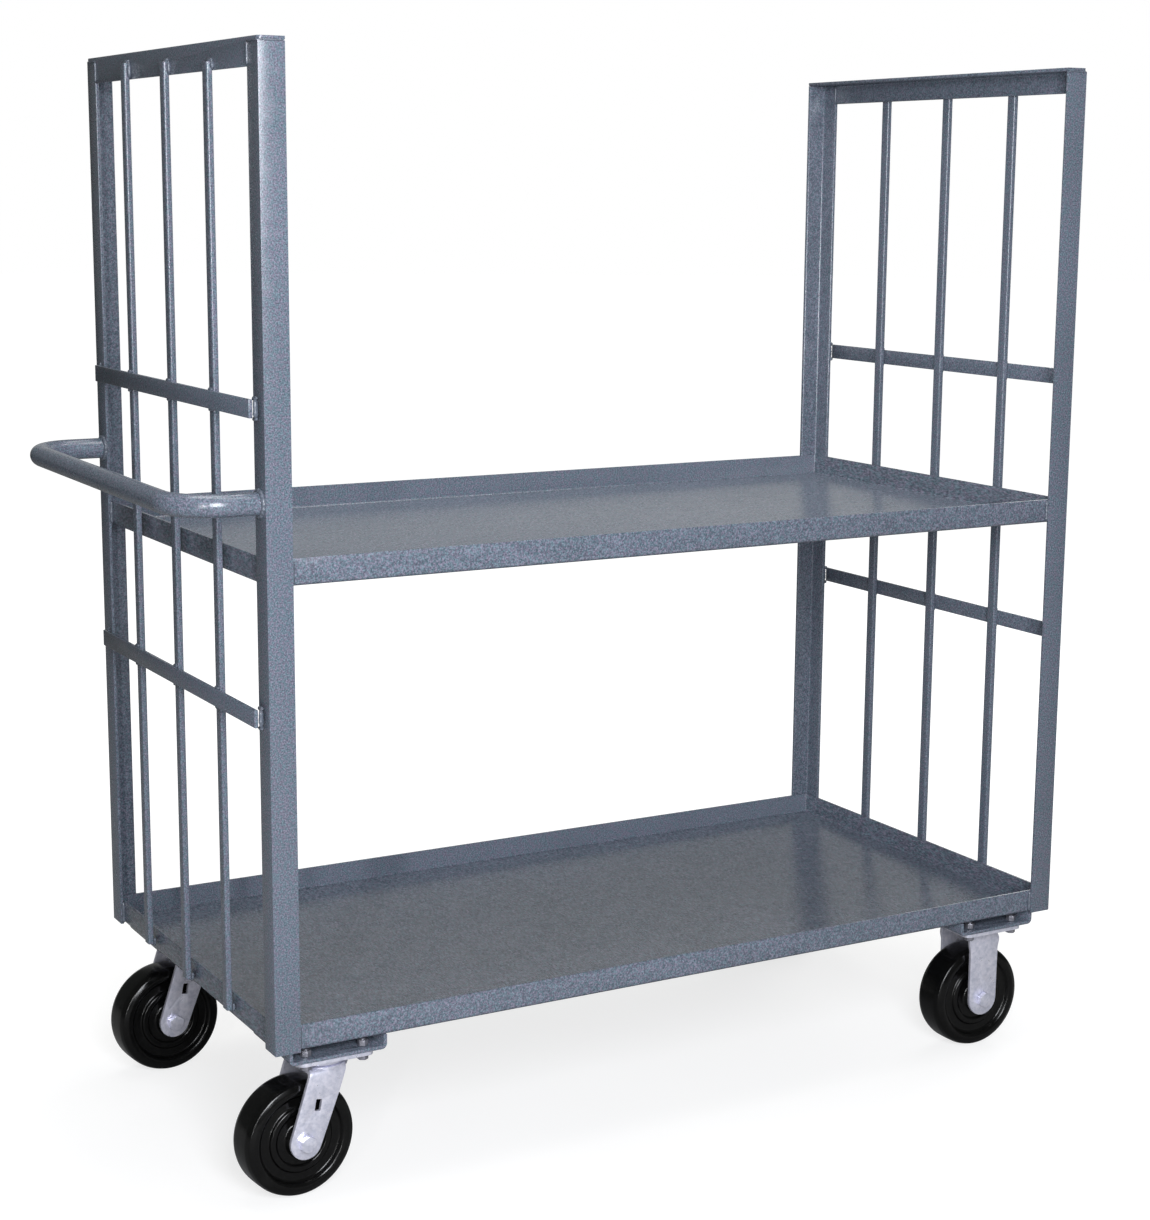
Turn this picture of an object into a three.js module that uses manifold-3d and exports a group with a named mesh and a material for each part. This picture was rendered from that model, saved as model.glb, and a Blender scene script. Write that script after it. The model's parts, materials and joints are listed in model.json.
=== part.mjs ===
// Slatted-end book cart: two tray shelves in a welded angle frame, on two swivel and two rigid casters.
// Millimetres, Z up. The floor is z = 0. X runs along the cart with the push handle at -X.
import * as THREE from "three";
import { mergeVertices } from "three/addons/utils/BufferGeometryUtils.js";
import Module from "manifold-3d";

const wasm = await Module();
wasm.setup();

// ---- driving dimensions ----
const GAP = 0.3; // clearance between neighbouring pieces
const SHELF_LENGTH = 1219.2;
const SHELF_DEPTH = 609.6;
const SHELF_SHEET = 3.0;
const LIP_HEIGHT = 33.5;
const ANGLE_LEG = 33.5;
const ANGLE_THICKNESS = 4.76;
const FRAME_LENGTH = SHELF_LENGTH + 2 * ANGLE_THICKNESS;
const FRAME_DEPTH = SHELF_DEPTH + 2 * ANGLE_THICKNESS;

const CASTER_MOUNT_HEIGHT = 190.5; // floor to the top of the caster plate
const PAD_DEPTH = 19.3;
const LOWER_SHELF_Z = CASTER_MOUNT_HEIGHT + PAD_DEPTH; // underside of the lower shelf
const UPPER_SHELF_Z = LOWER_SHELF_Z + 581.7; // underside of the upper shelf
const FRAME_TOP_Z = LOWER_SHELF_Z + 1217.4; // top of the top angles

const SLAT_WIDTH = 15.9;
const SLAT_THICKNESS = 7.94;
const SLAT_SPACING = 150;
const SLAT_EDGE_RADIUS = 2;
const BAR_HEIGHT = 22.2;
const BAR_THICKNESS = 4.76;
const BAR_LENGTH = 570;

// The two welded end grilles differ slightly: the sideways shift, the heights of their two bars, and for each
// slat how far its foot is above the lower shelf's underside and its head below the frame's top.
const GRILLES = {
  handle_end: {
    side: -1,
    shift: -9.5,
    upperBarZ: LOWER_SHELF_Z + 794,
    lowerBarZ: LOWER_SHELF_Z + 423,
    slatEnds: { near: [14.5, 23.5], middle: [9, 17.5], far: [13, 13] },
  },
  plain_end: {
    side: 1,
    shift: 0,
    upperBarZ: LOWER_SHELF_Z + 787,
    lowerBarZ: LOWER_SHELF_Z + 415,
    slatEnds: { near: [14, 14], middle: [14, 14], far: [14, 14] },
  },
};

const HANDLE_RADIUS = 14;
const HANDLE_LEG_Y = 291;
const HANDLE_BEND_RADIUS = 60;
const HANDLE_REACH_NEAR = 95; // from the posts to the grip's centre line, at the -Y end
const HANDLE_REACH_FAR = 106;
const HANDLE_Z_NEAR = LOWER_SHELF_Z + 681.5;
const HANDLE_Z_FAR = LOWER_SHELF_Z + 688;

const PIVOT_X = 527;
const PIVOT_Y = 241.3;
const RIGID_CENTRE_X = 523;
const SWIVEL_LEAD = 39.4; // from the swivel axis back to the wheel's axle
const SWIVEL_ANGLE = THREE.MathUtils.degToRad(5);

const WHEEL_RADIUS = 76.2;
const WHEEL_WIDTH = 50.8;
const HUB_HALF_LENGTH = 27.5;
const HUB_BORE_RADIUS = 11;
const BUSHING_HALF_LENGTH = 29.5;
const AXLE_RADIUS = 6.35;

const PLATE_LENGTH = 102;
const PLATE_DEPTH = 114;
const PLATE_THICKNESS = 6.35;
const BOLT_RADIUS = 3.97;
const BOLT_SPACING_X = 77.5;
const BOLT_SPACING_Y = 92;
const BOLT_HEAD_RADIUS = 7.3;
const BOLT_HEAD_HEIGHT = 6.5;
const NUT_HEIGHT = 8;

const PAD_WIDTH = 132;
const PAD_LENGTH = 122;
const PAD_SHEET = 4.5;
const PAD_CORNER_RADIUS = 7;

const RING_HEIGHT = 14;
const RING_OUTER_RADIUS = 35;
const RING_INNER_RADIUS = 22;
const KINGPIN_RADIUS = 8;
const KINGPIN_HEAD_RADIUS = 13;
const KINGPIN_HEAD_HEIGHT = 7;
const FORK_HALF_WIDTH = 35.6;
const FORK_SHEET = 4.76;
const FORK_BEND_RADIUS = 9;
const FORK_END_RADIUS = 22;

// ---- geometry helpers ----
const QUARTER = Math.PI / 2;

function toSolid(geometry) {
  const bare = geometry.clone();
  bare.deleteAttribute("normal");
  bare.deleteAttribute("uv");
  const merged = mergeVertices(bare, 1e-4);
  const vertProperties = new Float32Array(merged.attributes.position.array);
  const triVerts = new Uint32Array(merged.index.array);
  return new wasm.Manifold(new wasm.Mesh({ numProp: 3, vertProperties, triVerts }));
}

function toGeometry(solid) {
  const result = solid.getMesh();
  const stride = result.numProp;
  const count = result.vertProperties.length / stride;
  const positions = new Float32Array(count * 3);
  for (let i = 0; i < count; i += 1) {
    for (let k = 0; k < 3; k += 1) positions[3 * i + k] = result.vertProperties[stride * i + k];
  }
  const geometry = new THREE.BufferGeometry();
  geometry.setAttribute("position", new THREE.BufferAttribute(positions, 3));
  geometry.setIndex(new THREE.BufferAttribute(new Uint32Array(result.triVerts), 1));
  geometry.computeVertexNormals();
  return geometry;
}

function extrude(shape, length, curveSegments = 4) {
  return new THREE.ExtrudeGeometry(shape, { depth: length, bevelEnabled: false, curveSegments });
}

// A shape drawn in X and Z, run along Y and centred on y = 0.
function extrudeAlongY(shape, length, curveSegments = 4) {
  const geometry = extrude(shape, length, curveSegments);
  geometry.rotateX(QUARTER);
  geometry.translate(0, length / 2, 0);
  return geometry;
}

// A shape drawn in Y and Z, run along X and centred on x = 0.
function extrudeAlongX(shape, length, curveSegments = 4) {
  const geometry = extrude(shape, length, curveSegments);
  geometry.rotateX(QUARTER);
  geometry.rotateZ(QUARTER);
  geometry.translate(-length / 2, 0, 0);
  return geometry;
}

function roundedRectangle(width, height, radius) {
  const w = width / 2;
  const h = height / 2;
  const shape = new THREE.Shape();
  shape.moveTo(-w + radius, -h);
  shape.lineTo(w - radius, -h);
  shape.absarc(w - radius, -h + radius, radius, -QUARTER, 0, false);
  shape.lineTo(w, h - radius);
  shape.absarc(w - radius, h - radius, radius, 0, QUARTER, false);
  shape.lineTo(-w + radius, h);
  shape.absarc(-w + radius, h - radius, radius, QUARTER, 2 * QUARTER, false);
  shape.lineTo(-w, -h + radius);
  shape.absarc(-w + radius, -h + radius, radius, 2 * QUARTER, 3 * QUARTER, false);
  return shape;
}

// A U-shaped blank seen end on: flat bottom with rounded lower corners, straight up to the given height.
function roundedBottomProfile(width, height, radius) {
  const w = width / 2;
  const shape = new THREE.Shape();
  shape.moveTo(-w + radius, 0);
  shape.lineTo(w - radius, 0);
  shape.absarc(w - radius, radius, radius, -QUARTER, 0, false);
  shape.lineTo(w, height);
  shape.lineTo(-w, height);
  shape.lineTo(-w, radius);
  shape.absarc(-w + radius, radius, radius, 2 * QUARTER, 3 * QUARTER, false);
  return shape;
}

// Rolled angle section with its outer corner at the origin and its legs along +X and +Y.
function angleSection(leg, thickness) {
  const root = 3.5;
  const toe = 2;
  const shape = new THREE.Shape();
  shape.moveTo(0, 0);
  shape.lineTo(leg, 0);
  shape.lineTo(leg, thickness - toe);
  shape.absarc(leg - toe, thickness - toe, toe, 0, QUARTER, false);
  shape.lineTo(thickness + root, thickness);
  shape.absarc(thickness + root, thickness + root, root, -QUARTER, -2 * QUARTER, true);
  shape.lineTo(thickness, leg - toe);
  shape.absarc(thickness - toe, leg - toe, toe, 0, QUARTER, false);
  shape.lineTo(0, leg);
  return shape;
}

// An upright cylinder from one height to another.
function uprightCylinder(radius, bottom, top, segments = 12) {
  const geometry = new THREE.CylinderGeometry(radius, radius, top - bottom, segments);
  geometry.rotateX(QUARTER);
  geometry.translate(0, 0, (bottom + top) / 2);
  return geometry;
}

// A cylinder along Y from one y to another. Six segments give a hexagonal head.
function crosswiseCylinder(radius, from, to, segments = 16) {
  const geometry = new THREE.CylinderGeometry(radius, radius, to - from, segments);
  geometry.translate(0, (from + to) / 2, 0);
  return geometry;
}

function box(width, depth, height, x, y, z) {
  const geometry = new THREE.BoxGeometry(width, depth, height);
  geometry.translate(x, y, z);
  return geometry;
}

// ---- materials ----
const paint = () => new THREE.MeshStandardMaterial({ color: 0x6e7686, roughness: 0.42, metalness: 0.1 });
const zinc = () => new THREE.MeshStandardMaterial({ color: 0xc6c8d4, roughness: 0.32, metalness: 0.9 });
const phenolic = () => new THREE.MeshStandardMaterial({ color: 0x111113, roughness: 0.28, metalness: 0 });
const steel = () => new THREE.MeshStandardMaterial({ color: 0x9a9ca2, roughness: 0.35, metalness: 0.9 });

const cart = new THREE.Group();
cart.name = "book_cart";

function add(parent, name, geometry, material) {
  const mesh = new THREE.Mesh(geometry, material);
  mesh.name = name;
  parent.add(mesh);
  return mesh;
}

// ---- shelves ----
const SHELF_CORNER_RADIUS = 5;

// The space inside a tray-shaped skin: rounded along its bottom edges and at its four upright corners.
function trayBlock(length, depth, height, bend, cornerRadius) {
  const along = toSolid(extrudeAlongY(roundedBottomProfile(length, height, bend), depth, 2));
  const across = toSolid(extrudeAlongX(roundedBottomProfile(depth, height, bend), length, 2));
  const plan = toSolid(extrude(roundedRectangle(length, depth, cornerRadius), height, 2));
  return along.intersect(across).intersect(plan);
}

function trayGeometry() {
  const length = SHELF_LENGTH - 2 * GAP;
  const depth = SHELF_DEPTH - 2 * GAP;
  const bend = 6;
  const outer = trayBlock(length, depth, LIP_HEIGHT, bend, SHELF_CORNER_RADIUS);
  const inner = trayBlock(
    length - 2 * SHELF_SHEET,
    depth - 2 * SHELF_SHEET,
    LIP_HEIGHT + 10,
    bend - SHELF_SHEET,
    SHELF_CORNER_RADIUS - SHELF_SHEET,
  );
  return toGeometry(outer.subtract(inner.translate(0, 0, SHELF_SHEET)));
}

for (const [name, z] of [["lower_shelf", LOWER_SHELF_Z], ["upper_shelf", UPPER_SHELF_Z]]) {
  add(cart, name, trayGeometry(), paint()).position.z = z;
}

// ---- corner posts ----
const CORNERS = [
  { name: "post_handle_near", x: -1, y: -1, turn: 0 },
  { name: "post_plain_near", x: 1, y: -1, turn: 1 },
  { name: "post_plain_far", x: 1, y: 1, turn: 2 },
  { name: "post_handle_far", x: -1, y: 1, turn: 3 },
];
const postHeight = FRAME_TOP_Z - ANGLE_THICKNESS - GAP - LOWER_SHELF_Z;
for (const corner of CORNERS) {
  const postGeometry = extrude(angleSection(ANGLE_LEG, ANGLE_THICKNESS), postHeight, 2);
  const post = add(cart, corner.name, postGeometry, paint());
  post.position.set(corner.x * FRAME_LENGTH / 2, corner.y * FRAME_DEPTH / 2, LOWER_SHELF_Z);
  post.rotation.z = corner.turn * QUARTER;
}

// ---- top angles: one leg lies on the posts, the other hangs between them ----
function topAngleGeometry() {
  const section = extrude(angleSection(ANGLE_LEG, ANGLE_THICKNESS), FRAME_DEPTH, 2);
  section.rotateX(-QUARTER);
  section.translate(0, -FRAME_DEPTH / 2, 0);
  const planCorner = 5;
  const plan = extrude(roundedRectangle(2 * ANGLE_LEG, FRAME_DEPTH, planCorner), 3 * ANGLE_LEG, 2);
  plan.translate(ANGLE_LEG, 0, -2 * ANGLE_LEG);
  let angle = toSolid(section).intersect(toSolid(plan));
  const copeLength = ANGLE_LEG + GAP;
  const overrun = 1;
  const copeZ = -ANGLE_THICKNESS - ANGLE_LEG;
  for (const end of [-1, 1]) {
    const copeY = end * (FRAME_DEPTH - copeLength + overrun) / 2;
    const cope = box(4 * ANGLE_LEG, copeLength + overrun, 2 * ANGLE_LEG, 0, copeY, copeZ);
    angle = angle.subtract(toSolid(cope));
  }
  return toGeometry(angle);
}

for (const [end, grille] of Object.entries(GRILLES)) {
  const angle = add(cart, `top_angle_${end}`, topAngleGeometry(), paint());
  angle.position.set(grille.side * FRAME_LENGTH / 2, 0, FRAME_TOP_Z);
  if (grille.side > 0) angle.rotation.z = Math.PI;
}

// ---- end grilles: slats outside the top angle and the shelf lips, with cross bars over them ----
const slatX = FRAME_LENGTH / 2 + GAP + SLAT_THICKNESS / 2;
const barX = slatX + SLAT_THICKNESS / 2 + GAP + BAR_THICKNESS / 2;
for (const [end, grille] of Object.entries(GRILLES)) {
  Object.entries(grille.slatEnds).forEach(([place, [foot, head]], index) => {
    const bottom = LOWER_SHELF_Z + foot;
    const section = roundedRectangle(SLAT_THICKNESS, SLAT_WIDTH, SLAT_EDGE_RADIUS);
    const bar = extrude(section, FRAME_TOP_Z - head - bottom, 1);
    const slat = add(cart, `slat_${end}_${place}`, bar, paint());
    slat.position.set(grille.side * slatX, grille.shift + (index - 1) * SLAT_SPACING, bottom);
  });
  for (const [level, z] of [["upper", grille.upperBarZ], ["lower", grille.lowerBarZ]]) {
    const section = roundedRectangle(BAR_THICKNESS, BAR_HEIGHT, 0.8);
    const bar = add(cart, `cross_bar_${end}_${level}`, extrudeAlongY(section, BAR_LENGTH, 1), paint());
    bar.position.set(grille.side * barX, grille.shift, z);
  }
}

// ---- push handle ----
function handlePath() {
  const start = FRAME_LENGTH / 2 + GAP;
  const nearX = FRAME_LENGTH / 2 + HANDLE_REACH_NEAR;
  const farX = FRAME_LENGTH / 2 + HANDLE_REACH_FAR;
  const corners = [
    new THREE.Vector3(-start, -HANDLE_LEG_Y, HANDLE_Z_NEAR),
    new THREE.Vector3(-nearX, -HANDLE_LEG_Y, HANDLE_Z_NEAR),
    new THREE.Vector3(-farX, HANDLE_LEG_Y, HANDLE_Z_FAR),
    new THREE.Vector3(-start, HANDLE_LEG_Y, HANDLE_Z_FAR),
  ];
  const path = new THREE.CurvePath();
  let from = corners[0];
  for (const index of [1, 2]) {
    const corner = corners[index];
    const inward = corners[index - 1].clone().sub(corner).setLength(HANDLE_BEND_RADIUS).add(corner);
    const outward = corners[index + 1].clone().sub(corner).setLength(HANDLE_BEND_RADIUS).add(corner);
    const pull = 0.552;
    path.add(new THREE.LineCurve3(from, inward));
    path.add(
      new THREE.CubicBezierCurve3(
        inward,
        inward.clone().lerp(corner, pull),
        outward.clone().lerp(corner, pull),
        outward,
      ),
    );
    from = outward;
  }
  path.add(new THREE.LineCurve3(from, corners[3]));
  return path;
}

function handleGeometry() {
  const ring = new THREE.Shape();
  ring.absarc(0, 0, HANDLE_RADIUS, 0, 2 * Math.PI, false);
  return new THREE.ExtrudeGeometry(ring, {
    steps: 40,
    bevelEnabled: false,
    extrudePath: handlePath(),
    curveSegments: 6,
  });
}
add(cart, "push_handle", handleGeometry(), paint());

// ---- caster pads: short channels that hold the bolts' nuts, open at the sides of the cart ----
function padGeometry() {
  const innerWidth = PAD_WIDTH - 2 * PAD_SHEET;
  const innerRadius = PAD_CORNER_RADIUS - PAD_SHEET;
  const outside = roundedBottomProfile(PAD_WIDTH, PAD_DEPTH - GAP, PAD_CORNER_RADIUS);
  const inside = roundedBottomProfile(innerWidth, PAD_DEPTH, innerRadius);
  const outer = toSolid(extrudeAlongY(outside, PAD_LENGTH, 2));
  const hollow = toSolid(extrudeAlongY(inside, 2 * PAD_LENGTH, 1)).translate(0, 0, PAD_SHEET);
  return toGeometry(boltHoles(outer.subtract(hollow)));
}

function boltHoles(solid) {
  let drilled = solid;
  for (const x of [-1, 1]) {
    for (const y of [-1, 1]) {
      const drill = toSolid(uprightCylinder(BOLT_RADIUS + GAP, -50, 50));
      drilled = drilled.subtract(drill.translate(x * BOLT_SPACING_X / 2, y * BOLT_SPACING_Y / 2, 0));
    }
  }
  return drilled;
}

// ---- mounting bolt with its nut above the pad's web; z = 0 is the pad's underside ----
function mountingBoltGeometry() {
  const headTop = -PLATE_THICKNESS - 2 * GAP;
  const nutBottom = PAD_SHEET + GAP;
  const head = toSolid(uprightCylinder(BOLT_HEAD_RADIUS, headTop - BOLT_HEAD_HEIGHT, headTop, 6));
  const nut = toSolid(uprightCylinder(BOLT_HEAD_RADIUS, nutBottom, nutBottom + NUT_HEIGHT, 6));
  const shank = toSolid(uprightCylinder(BOLT_RADIUS, headTop - 1, nutBottom + NUT_HEIGHT + 1.5, 12));
  return toGeometry(head.add(nut).add(shank));
}

// ---- swivel caster, built about its swivel axis with the wheel trailing to -X ----
function topPlateGeometry() {
  const plate = extrude(roundedRectangle(PLATE_LENGTH, PLATE_DEPTH, 9), PLATE_THICKNESS, 2);
  const hole = toSolid(uprightCylinder(KINGPIN_RADIUS + GAP, -50, 50, 24));
  return toGeometry(boltHoles(toSolid(plate)).subtract(hole));
}

function ringGeometry() {
  const ring = toSolid(uprightCylinder(RING_OUTER_RADIUS, 0, RING_HEIGHT, 24));
  return toGeometry(ring.subtract(toSolid(uprightCylinder(RING_INNER_RADIUS, -1, RING_HEIGHT + 1, 24))));
}

// Side view of a swivel leg, from the crown down to the round end about the axle.
function swivelLegProfile(crownZ) {
  const crownFrom = -31;
  const crownTo = 20;
  const rake = 0.3;
  const waist = new THREE.Vector2(8.5, 136);
  const hip = new THREE.Vector2(13.5, 150);
  const shape = new THREE.Shape();
  shape.moveTo(crownTo, crownZ);
  shape.lineTo(crownFrom, crownZ);
  shape.absarc(-SWIVEL_LEAD, WHEEL_RADIUS, FORK_END_RADIUS, Math.PI - rake, 2 * Math.PI - rake, false);
  shape.lineTo(waist.x, waist.y);
  shape.lineTo(hip.x, hip.y);
  return shape;
}

// Side view of a rigid leg: narrow under the plate, then a shoulder, then parallel sides to its round end.
function rigidLegProfile(crownZ) {
  const endRadius = FORK_END_RADIUS + 2.5;
  const crownHalf = 22;
  const swellHalf = 29;
  const shoulderHalf = 27;
  const legHalf = 25;
  const neckZ = crownZ - 8;
  const swellZ = crownZ - 15;
  const shoulderZ = crownZ - 23;
  const legZ = crownZ - 32;
  const shape = new THREE.Shape();
  shape.moveTo(-crownHalf, crownZ);
  shape.lineTo(-crownHalf, neckZ);
  shape.quadraticCurveTo(-swellHalf, swellZ, -shoulderHalf, shoulderZ);
  shape.lineTo(-legHalf, legZ);
  shape.absarc(0, WHEEL_RADIUS, endRadius, Math.PI, 2 * Math.PI, false);
  shape.lineTo(legHalf, legZ);
  shape.lineTo(shoulderHalf, shoulderZ);
  shape.quadraticCurveTo(swellHalf, swellZ, crownHalf, neckZ);
  shape.lineTo(crownHalf, crownZ);
  return shape;
}

// A sheet bent into an upside-down U across the wheel, cut to the given side view.
function bentFork(profile, crownZ) {
  const innerHalf = FORK_HALF_WIDTH - FORK_SHEET;
  const length = 400;
  const outside = roundedBottomProfile(2 * FORK_HALF_WIDTH, length, FORK_BEND_RADIUS);
  const inside = roundedBottomProfile(2 * innerHalf, length, FORK_BEND_RADIUS - FORK_SHEET);
  const hollow = toSolid(extrudeAlongX(inside, length + 2)).translate(0, 0, FORK_SHEET);
  const channel = toSolid(extrudeAlongX(outside, length)).subtract(hollow);
  const blank = toSolid(extrudeAlongY(profile, 3 * FORK_HALF_WIDTH, 6));
  return channel.rotate([180, 0, 0]).translate(0, 0, crownZ).intersect(blank);
}

function axleHole(x) {
  return toSolid(crosswiseCylinder(AXLE_RADIUS + GAP, -100, 100)).translate(x, 0, WHEEL_RADIUS);
}

const swivelCrownZ = CASTER_MOUNT_HEIGHT - PLATE_THICKNESS - RING_HEIGHT - 3 * GAP;

function swivelForkGeometry() {
  const slotWidth = 8.5;
  const slotLength = 15.5;
  const slotTilt = 0.2;
  const slotX = -22;
  const slotZ = 123;
  const crown = toSolid(uprightCylinder(RING_OUTER_RADIUS, swivelCrownZ - FORK_SHEET, swivelCrownZ, 24));
  const pinHole = toSolid(uprightCylinder(KINGPIN_RADIUS + GAP, 0, 300, 24));
  const slot = extrudeAlongY(roundedRectangle(slotWidth, slotLength, 1), 200, 2);
  slot.rotateY(slotTilt);
  slot.translate(slotX, 0, slotZ);
  return toGeometry(
    bentFork(swivelLegProfile(swivelCrownZ), swivelCrownZ)
      .add(crown)
      .subtract(pinHole)
      .subtract(toSolid(slot))
      .subtract(axleHole(-SWIVEL_LEAD)),
  );
}

// The kingpin's shank runs through the plate and the fork's crown; its head is under the crown.
function kingpinGeometry() {
  const headTop = swivelCrownZ - FORK_SHEET - GAP;
  const top = CASTER_MOUNT_HEIGHT - 2 * GAP;
  const shank = toSolid(uprightCylinder(KINGPIN_RADIUS, headTop - 1, top, 16));
  const head = toSolid(uprightCylinder(KINGPIN_HEAD_RADIUS, headTop - KINGPIN_HEAD_HEIGHT, headTop, 16));
  return toGeometry(shank.add(head));
}

// ---- rigid fork: top plate and legs in one piece ----
function rigidForkGeometry() {
  const plateBottom = CASTER_MOUNT_HEIGHT - GAP - PLATE_THICKNESS;
  const plate = extrude(roundedRectangle(PLATE_LENGTH, PLATE_DEPTH, 9), PLATE_THICKNESS, 2);
  const crownZ = plateBottom + 1;
  const drilled = boltHoles(toSolid(plate)).translate(0, 0, plateBottom);
  const legs = bentFork(rigidLegProfile(crownZ), crownZ);
  return toGeometry(drilled.add(legs).subtract(axleHole(0)));
}

// ---- wheel, axle and bushing, built about the axle along Y ----
function wheelGeometry() {
  const half = WHEEL_WIDTH / 2;
  const shoulder = 9;
  const side = [
    [HUB_BORE_RADIUS, HUB_HALF_LENGTH],
    [23, HUB_HALF_LENGTH],
    [24, 20],
    [57, 18.5],
    [59.5, half - 1],
    [WHEEL_RADIUS - shoulder, half],
    [WHEEL_RADIUS - 0.3 * shoulder, half - 0.3 * shoulder],
    [WHEEL_RADIUS, half - shoulder],
  ];
  const points = side.map(([radius, y]) => new THREE.Vector2(radius, y));
  const mirrored = side.map(([radius, y]) => new THREE.Vector2(radius, -y)).reverse();
  return new THREE.LatheGeometry([...points, ...mirrored, points[0].clone()].reverse(), 32);
}

function bushingGeometry() {
  const outer = HUB_BORE_RADIUS - GAP;
  const inner = AXLE_RADIUS + GAP;
  const profile = [
    new THREE.Vector2(inner, -BUSHING_HALF_LENGTH),
    new THREE.Vector2(outer, -BUSHING_HALF_LENGTH),
    new THREE.Vector2(outer, BUSHING_HALF_LENGTH),
    new THREE.Vector2(inner, BUSHING_HALF_LENGTH),
    new THREE.Vector2(inner, -BUSHING_HALF_LENGTH),
  ];
  return new THREE.LatheGeometry(profile, 20);
}

const AXLE_HEAD_RADIUS = 11.5;
const AXLE_HEAD_HEIGHT = 8;

// The bolt's head is towards -Y and its threaded end stands a little out of the nut.
function axleBoltGeometry() {
  const headInner = -FORK_HALF_WIDTH - GAP;
  const nutOuter = FORK_HALF_WIDTH + GAP + AXLE_HEAD_HEIGHT;
  const head = toSolid(crosswiseCylinder(AXLE_HEAD_RADIUS, headInner - AXLE_HEAD_HEIGHT, headInner, 6));
  const shank = toSolid(crosswiseCylinder(AXLE_RADIUS, headInner - 1, nutOuter + 4, 20));
  return toGeometry(head.add(shank));
}

function axleNutGeometry() {
  const inner = FORK_HALF_WIDTH + GAP;
  const nut = toSolid(crosswiseCylinder(AXLE_HEAD_RADIUS, inner, inner + AXLE_HEAD_HEIGHT, 6));
  return toGeometry(nut.subtract(toSolid(crosswiseCylinder(AXLE_RADIUS + GAP, inner - 1, inner + 20, 20))));
}

function addRollingParts(parent, name, axleX) {
  const parts = [
    ["wheel", wheelGeometry(), phenolic()],
    ["hub_bushing", bushingGeometry(), steel()],
    ["axle_bolt", axleBoltGeometry(), zinc()],
    ["axle_nut", axleNutGeometry(), zinc()],
  ];
  for (const [part, geometry, material] of parts) {
    add(parent, `${part}_${name}`, geometry, material).position.set(axleX, 0, WHEEL_RADIUS);
  }
}

function addPadAndBolts(name, x, ySide) {
  const pad = add(cart, `caster_pad_${name}`, padGeometry(), paint());
  pad.position.set(x, ySide * PIVOT_Y, CASTER_MOUNT_HEIGHT);
  for (const [place, side] of [["left", -1], ["right", 1]]) {
    const bolt = add(cart, `mounting_bolt_${name}_${place}`, mountingBoltGeometry(), zinc());
    const boltX = x + side * BOLT_SPACING_X / 2;
    bolt.position.set(boltX, ySide * (PIVOT_Y + BOLT_SPACING_Y / 2), CASTER_MOUNT_HEIGHT);
  }
}

for (const [place, ySide] of [["near", -1], ["far", 1]]) {
  const swivelName = `handle_${place}`;
  addPadAndBolts(swivelName, -PIVOT_X, ySide);
  const fixed = new THREE.Group();
  fixed.position.set(-PIVOT_X, ySide * PIVOT_Y, 0);
  cart.add(fixed);
  const plateZ = CASTER_MOUNT_HEIGHT - GAP - PLATE_THICKNESS;
  add(fixed, `caster_plate_${swivelName}`, topPlateGeometry(), zinc()).position.z = plateZ;
  add(fixed, `bearing_ring_${swivelName}`, ringGeometry(), zinc()).position.z = plateZ - GAP - RING_HEIGHT;
  add(fixed, `kingpin_${swivelName}`, kingpinGeometry(), steel());

  const turning = new THREE.Group();
  turning.rotation.z = SWIVEL_ANGLE;
  fixed.add(turning);
  add(turning, `fork_${swivelName}`, swivelForkGeometry(), zinc());
  addRollingParts(turning, swivelName, -SWIVEL_LEAD);

  const rigidName = `plain_${place}`;
  addPadAndBolts(rigidName, RIGID_CENTRE_X, ySide);
  const rigid = new THREE.Group();
  rigid.position.set(RIGID_CENTRE_X, ySide * PIVOT_Y, 0);
  cart.add(rigid);
  add(rigid, `fork_${rigidName}`, rigidForkGeometry(), zinc());
  addRollingParts(rigid, rigidName, 0);
}

// The origin is under the middle of the whole cart's box, handle included.
const overall = new THREE.Box3().setFromObject(cart, true);
cart.position.x = -(overall.min.x + overall.max.x) / 2;

export default cart;
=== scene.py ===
import json
import math
import random

import bmesh
import bpy
from mathutils import Matrix, Vector


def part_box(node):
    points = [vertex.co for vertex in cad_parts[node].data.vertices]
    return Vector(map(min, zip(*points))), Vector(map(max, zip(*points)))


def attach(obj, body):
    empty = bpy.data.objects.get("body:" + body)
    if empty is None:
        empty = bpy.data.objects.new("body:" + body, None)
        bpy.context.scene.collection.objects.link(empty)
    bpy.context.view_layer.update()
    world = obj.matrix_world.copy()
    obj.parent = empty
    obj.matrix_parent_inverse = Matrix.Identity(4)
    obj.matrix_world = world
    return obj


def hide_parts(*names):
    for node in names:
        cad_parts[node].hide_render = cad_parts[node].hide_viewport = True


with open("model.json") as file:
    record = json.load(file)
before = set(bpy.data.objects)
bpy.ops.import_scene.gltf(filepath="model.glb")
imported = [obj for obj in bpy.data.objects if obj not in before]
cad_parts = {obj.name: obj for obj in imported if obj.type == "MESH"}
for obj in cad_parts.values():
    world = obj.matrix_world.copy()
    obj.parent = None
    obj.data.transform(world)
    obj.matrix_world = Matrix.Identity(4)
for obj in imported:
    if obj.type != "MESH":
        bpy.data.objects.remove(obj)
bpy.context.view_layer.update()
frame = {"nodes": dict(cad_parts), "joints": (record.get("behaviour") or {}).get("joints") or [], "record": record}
NODES = frame["nodes"]
RECORD = frame["record"]
JOINTS = {joint["name"]: joint for joint in frame["joints"]}
random.seed(7)

CORNERS = ("handle_near", "handle_far", "plain_near", "plain_far")
ENDS = ("handle_end", "plain_end")
PLACES = ("near", "middle", "far")

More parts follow.
